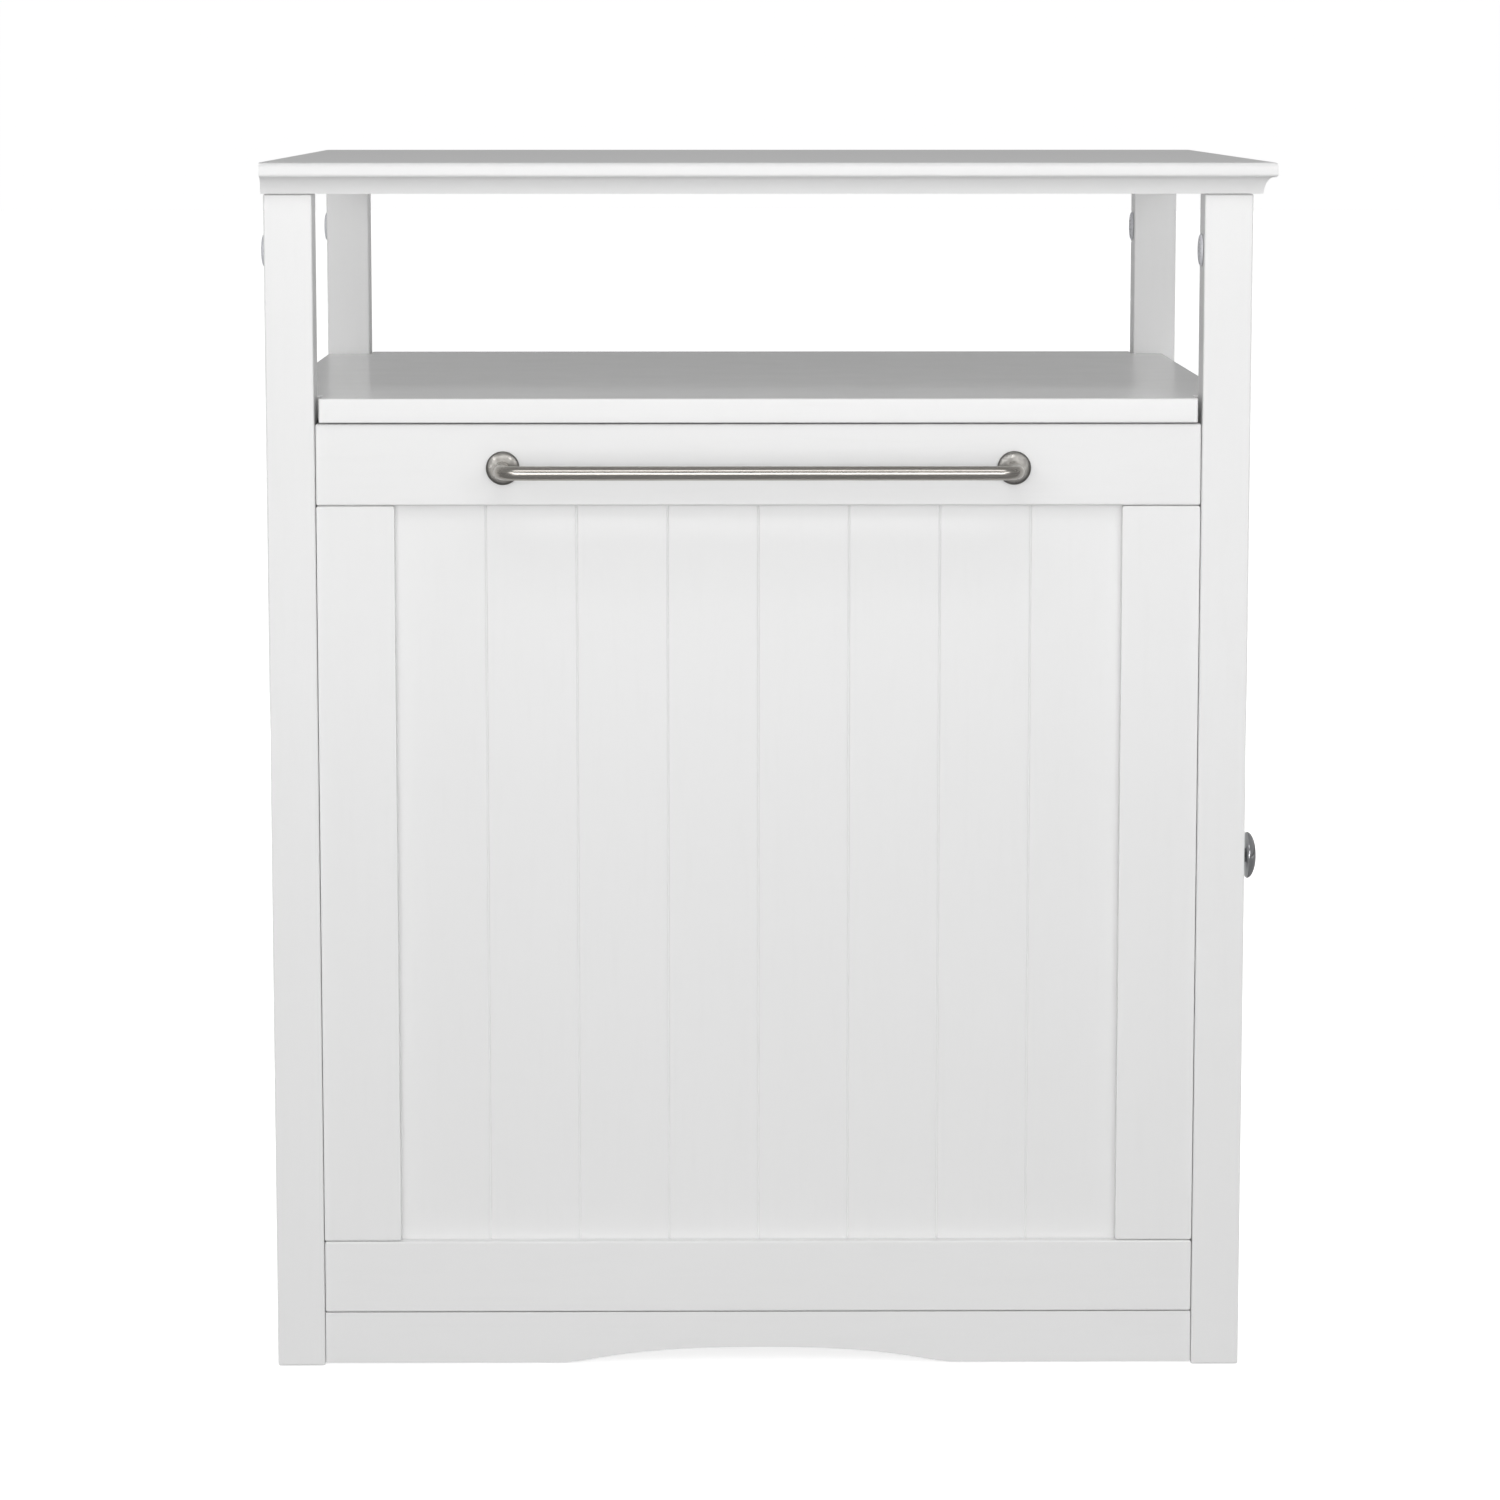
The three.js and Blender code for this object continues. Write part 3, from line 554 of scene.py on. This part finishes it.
def add_bin(node, plastic):
    """A tapered bin in one skin: foot, wall with grooves, turned-down rim and the inside."""
    low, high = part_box(node)
    centre = (low + high) / 2
    half_x, half_y = (high.x - low.x) / 2, (high.y - low.y) / 2
    height = high.z - low.z
    rim, wall, taper, corner = 8 * MM, 2.2 * MM, 15 * MM, 28 * MM
    skirt = 12 * MM
    groove_depth, groove_share, groove_end = 1.1 * MM, 0.012, 0.016

    def wall_ring(share, inset):
        """The wall's outline at a share of the height, moved in by inset."""
        lean = taper * (1 - share)
        return (half_x - rim - lean - inset, half_y - rim - lean - inset, corner - inset * 0.5)

    def rim_ring(inset, radius):
        """The rim's outline, moved in by inset."""
        return (half_x - inset, half_y - inset, radius)

    rings = []

    def ring(outline, z):
        rings.append(rounded_ring(centre, *outline, low.z + z))

    # foot
    ring(wall_ring(0, 7 * MM), 1.2 * MM)
    ring(wall_ring(0, 5.5 * MM), 0)
    ring(wall_ring(0, 3 * MM), 0)
    ring(wall_ring(0.004, 0.8 * MM), 0.9 * MM)
    ring(wall_ring(0.01, 0), 4 * MM)
    # grooves round the wall
    for share in (0.16, 0.30, 0.80, 0.86):
        ring(wall_ring(share, 0), height * share)
        ring(wall_ring(share, groove_depth), height * share + 1.5 * MM)
        ring(wall_ring(share + groove_share, groove_depth), height * (share + groove_share))
        ring(wall_ring(share + groove_end, 0), height * (share + groove_end))
    # turned-down rim, from under it to its top
    ring(wall_ring(1, 0), height - 3.2 * MM)
    ring(rim_ring(wall, corner + rim - wall), height - 3 * MM)
    ring(rim_ring(wall, corner + rim - wall), height - skirt)
    ring(rim_ring(0, corner + rim), height - skirt)
    ring(rim_ring(0, corner + rim), height - 2 * MM)
    ring(rim_ring(0.6 * MM, corner + rim), height - 0.5 * MM)
    ring(rim_ring(2 * MM, corner + rim - 2 * MM), height)
    # inside, down to the floor
    ring(wall_ring(1, wall - 1.5 * MM), height)
    ring(wall_ring(1, wall), height - 1 * MM)
    ring(wall_ring(0.02, wall), 14 * MM)
    ring(wall_ring(0, wall + 4 * MM), 5.5 * MM)
    ring(wall_ring(0, wall + 10 * MM), 3.6 * MM)
    piece = new_piece(node + "_moulded", *loft(rings), plastic, "pull_out", "bin_plastic", 40)
    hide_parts(node)


# ---- hinges, slides and catch ---------------------------------------------------------------------

def screw_head(centre, axis, radius=3 * MM):
    """A countersunk head with a sunk middle, standing a hair proud of its plate."""
    recess = [(AXIS, -0.25 * MM), (radius * 0.28, -0.2 * MM), (radius * 0.34, 0.22 * MM)]
    edge = [(radius * 0.8, 0.2 * MM), (radius, 0.05 * MM), (radius, -0.4 * MM), (AXIS, -0.5 * MM)]
    return turned(recess + edge, centre, axis, 20)


def add_heads(name, places, axis, zinc, body):
    """One piece with a screw head at every place."""
    heads = [screw_head(Vector(place), axis) for place in places]
    new_piece(name, *join_parts(heads), zinc, body, "zinc_steel", 35)


def add_hinges(zinc):
    """Butt hinges; each leaf has three screws, set in from its ends and from its edge."""
    leaf, barrel = 1.2 * MM, 3 * MM
    end, near_edge, far_edge = 9 * MM, 7 * MM, 14 * MM
    for level in ("lower", "upper"):
        for part in ("door_leaf", "post_leaf", "pin"):
            ease(f"{level}_hinge_{part}", zinc, 0.25, 2)
        door_low, door_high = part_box(f"{level}_hinge_door_leaf")
        post_low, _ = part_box(f"{level}_hinge_post_leaf")
        pin = centre_of(f"{level}_hinge_pin")
        heights = [door_low.z + end, (door_low.z + door_high.z) / 2, door_high.z - end]
        door_face = pin.x - barrel + leaf
        post_face = pin.y + barrel - leaf
        insets = [near_edge, far_edge, near_edge]
        on_door = [(door_face, door_low.y + inset, z) for inset, z in zip(insets, heights)]
        on_post = [(post_low.x + near_edge, post_face, z) for z in heights]
        add_heads(f"{level}_hinge_door_screws", on_door, X, zinc, "side_door")
        add_heads(f"{level}_hinge_post_screws", on_post, -Y, zinc, "cabinet")


def ball(centre, radius, steps=8):
    angles = [math.radians(180 * i / steps - 90) for i in range(steps + 1)]
    profile = [(max(radius * math.cos(a), AXIS), radius * math.sin(a)) for a in angles]
    return turned(profile, centre, Z, 12)


def bar(low, high):
    """A strip with a small chamfer along its four long edges, which run in Y."""
    chamfer = 0.2 * MM
    rings = []
    for y in (low.y, high.y):
        rings.append([
            Vector((low.x + chamfer, y, low.z)), Vector((high.x - chamfer, y, low.z)),
            Vector((high.x, y, low.z + chamfer)), Vector((high.x, y, high.z - chamfer)),
            Vector((high.x - chamfer, y, high.z)), Vector((low.x + chamfer, y, high.z)),
            Vector((low.x, y, high.z - chamfer)), Vector((low.x, y, low.z + chamfer)),
        ])
    return loft(rings)


def ball_cage(x, y_start, z, radius, count, pitch):
    """A thin strip with steel balls in it; it stays inside both members through the whole run."""
    length = count * pitch
    half = 2.2 * MM
    thin = 0.3 * MM
    corner = Vector((x - half, y_start, z - thin))
    strip = bar(corner, corner + Vector((2 * half, length, 2 * thin)))
    balls = [ball(Vector((x, y_start + (i + 0.5) * pitch, z)), radius) for i in range(count)]
    return join_parts([strip] + balls)


def add_slides(zinc):
    """Eased members, with the ball cages that ride on each middle member."""
    gauge, pitch, count = 1.1 * MM, 8 * MM, 16
    outer_x, outer_ball = 5.4 * MM, 1.6 * MM
    inner_x, inner_ball = 7.4 * MM, 1.0 * MM
    for side, sign in (("left", 1), ("right", -1)):
        for member in ("cabinet", "middle", "drawer"):
            ease(f"{side}_slide_{member}_member", zinc, 0.3, 2)
        outer_low, outer_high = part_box(f"{side}_slide_cabinet_member")
        middle_low, middle_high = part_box(f"{side}_slide_middle_member")
        _, drawer_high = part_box(f"{side}_slide_drawer_member")
        wall = outer_low.x if sign > 0 else outer_high.x
        middle_z = (middle_low.z + middle_high.z) / 2
        outer_up = (outer_high.z - gauge + middle_high.z) / 2 - middle_z
        inner_up = (middle_high.z - gauge + drawer_high.z) / 2 - middle_z
        rear = middle_high.y - (count + 1) * pitch
        front = middle_low.y + pitch
        cages = []
        for up in (1, -1):
            z = middle_z + up * outer_up
            cages.append(ball_cage(wall + sign * outer_x, rear, z, outer_ball, count, pitch))
            z = middle_z + up * inner_up
            cages.append(ball_cage(wall + sign * inner_x, front, z, inner_ball, count, pitch))
        new_piece(f"{side}_slide_ball_cages", *join_parts(cages), zinc, f"{side}_slide_middle",
                  "zinc_steel", 40)


def add_box_screws(zinc):
    """The box's sides are screwed to the ends of its front and back."""
    for side, face in (("left", -X), ("right", X)):
        low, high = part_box(f"pull_out_box_{side}")
        x = low.x if side == "left" else high.x
        end, from_edge = 6 * MM, 14 * MM
        rows = (low.z + from_edge, high.z - from_edge)
        places = [(x, y, z) for y in (low.y + end, high.y - end) for z in rows]
        add_heads(f"pull_out_box_{side}_screws", places, face, zinc, "pull_out")


def add_catch(zinc, brown):
    ease("door_catch", brown, 1.0, 2)
    ease("door_strike_plate", zinc, 0.25, 2)


# ---- studio ---------------------------------------------------------------------------------------

# name, place, target, width, height, watts, spread in degrees, seen in reflections
LIGHTS = (
    ("level front", (0, -4.0, 0.80), (0, 0, 0.72), 2.4, 0.5, 32, 180, True),
    ("high front", (0, -2.4, 3.0), (0, 0, 0.6), 2.0, 1.0, 15, 180, True),
    ("key left", (-1.7, -3.6, 1.65), (0, -0.25, 0.5), 1.6, 1.2, 15, 180, True),
    ("key right", (1.8, -3.6, 1.65), (0, -0.25, 0.5), 1.6, 1.2, 14, 180, True),
    ("low front", (0, -3.4, 0.25), (0, 0, 0.95), 2.4, 0.5, 1.6, 70, True),
    ("rear", (0, 3.2, 0.3), (0, 0, 0.35), 0.6, 0.5, 34, 180, False),
    ("low left", (-3.2, 0.4, 0.3), (0, 0, 0.3), 2.4, 0.5, 24, 180, False),
    ("low right", (3.2, 0.4, 0.3), (0, 0, 0.3), 2.4, 0.5, 27, 180, False),
)


def add_light(name, place, target, width, height, power, spread, in_reflections):
    data = bpy.data.lights.new(name, "AREA")
    data.shape = "RECTANGLE"
    data.size = width
    data.size_y = height
    data.energy = power
    data.spread = math.radians(spread)
    light = bpy.data.objects.new(name, data)
    light.location = place
    light.rotation_euler = (Vector(target) - Vector(place)).to_track_quat("-Z", "Y").to_euler()
    light.visible_glossy = in_reflections
    bpy.context.scene.collection.objects.link(light)


def stage_mesh(name, verts, faces, material, seen_by_camera, seen_by_light):
    """Scenery: either the camera sees it, or light does."""
    mesh = bpy.data.meshes.new(name)
    mesh.from_pydata(verts, [], faces)
    mesh.materials.append(material)
    piece = bpy.data.objects.new(name, mesh)
    bpy.context.scene.collection.objects.link(piece)
    piece.visible_camera = seen_by_camera
    for ray in ("diffuse", "glossy", "transmission", "shadow"):
        setattr(piece, "visible_" + ray, seen_by_light)


def square(half, z):
    """Corners of a level square."""
    return [(-half, -half, z), (half, -half, z), (half, half, z), (-half, half, z)]


AIR_STRENGTH = 0.392
FLOOR_HALF, FLOOR_GLOW, FLOOR_BOUNCE = 30, 0.80, 0.45
BACKDROP_RADIUS, BACKDROP_SIDES = 28, 24
BACKDROP_LOW, BACKDROP_HIGH = -1, 24


def add_backdrop(material):
    """A white drum with a lid, behind everything."""
    ring = []
    for i in range(BACKDROP_SIDES):
        angle = 2 * math.pi * i / BACKDROP_SIDES
        ring.append((BACKDROP_RADIUS * math.cos(angle), BACKDROP_RADIUS * math.sin(angle)))
    verts = [(x, y, z) for z in (BACKDROP_LOW, BACKDROP_HIGH) for x, y in ring]
    n = BACKDROP_SIDES
    faces = [(i, (i + 1) % n, n + (i + 1) % n, n + i) for i in range(n)]
    faces.append(tuple(range(n, 2 * n)))
    stage_mesh("backdrop", verts, faces, material, True, False)


def add_studio():
    """A pale floor that only the camera sees, a dimmer one that throws light back, and lamps."""
    scene = bpy.context.scene
    scene.view_settings.view_transform = "Standard"
    scene.view_settings.look = "None"
    world = bpy.data.worlds.new("studio air")
    world.use_nodes = True
    air = world.node_tree.nodes["Background"]
    air.inputs["Color"].default_value = grey(1)
    air.inputs["Strength"].default_value = AIR_STRENGTH
    scene.world = world

    one_face = [(0, 1, 2, 3)]
    pale = Surface("pale floor", Base_Color=grey(0.8), Roughness=0.9,
                   Emission_Color=grey(1), Emission_Strength=FLOOR_GLOW)
    stage_mesh("floor_seen", square(FLOOR_HALF, -0.2 * MM), one_face, pale.material, True, False)
    dim = Surface("floor bounce", Base_Color=grey(FLOOR_BOUNCE), Roughness=0.95)
    stage_mesh("floor_bounce", square(FLOOR_HALF, -1.2 * MM), one_face, dim.material, False, True)
    white = Surface("backdrop white", Base_Color=grey(0), Roughness=1.0,
                    Emission_Color=grey(1), Emission_Strength=1.0)
    add_backdrop(white.material)

    for light in LIGHTS:
        add_light(*light)


# ---- build ----------------------------------------------------------------------------------------

add_camera()
finish_wood()
cap_plastic = moulded_plastic(
    "white cap plastic", rgb(0.66, 0.665, 0.70), rgb(0.62, 0.625, 0.66), 0.28, 0.12, 500)
bin_plastic = moulded_plastic(
    "dark bin plastic", rgb(0.060, 0.066, 0.075), rgb(0.050, 0.055, 0.062), 0.52)
catch_plastic = moulded_plastic(
    "brown catch plastic", rgb(0.16, 0.075, 0.035), rgb(0.13, 0.06, 0.03), 0.42, 0.3)
zinc = galvanised("zinc plated steel")
nickel = brushed_metal("brushed nickel", rgb(0.46, 0.44, 0.41), rgb(0.38, 0.36, 0.33),
                       (0.03, 1, 1), 0.22, 300)
# painted shade: the roses are the bar's nickel with a darker colour painted in
rose_nickel_painted_darker = brushed_metal("turned nickel painted darker", rgb(0.215, 0.21, 0.20), rgb(0.145, 0.14, 0.132),
                              (1, 1, 1), 0.30, 260)
chrome = polished_chrome("polished chrome")
add_cam_caps(cap_plastic)
add_handle(nickel, rose_nickel_painted_darker, zinc)
add_knob(chrome, zinc)
add_bin("front_bin", bin_plastic)
add_bin("rear_bin", bin_plastic)
add_hinges(zinc)
add_slides(zinc)
add_box_screws(zinc)
add_catch(zinc, catch_plastic)
add_studio()
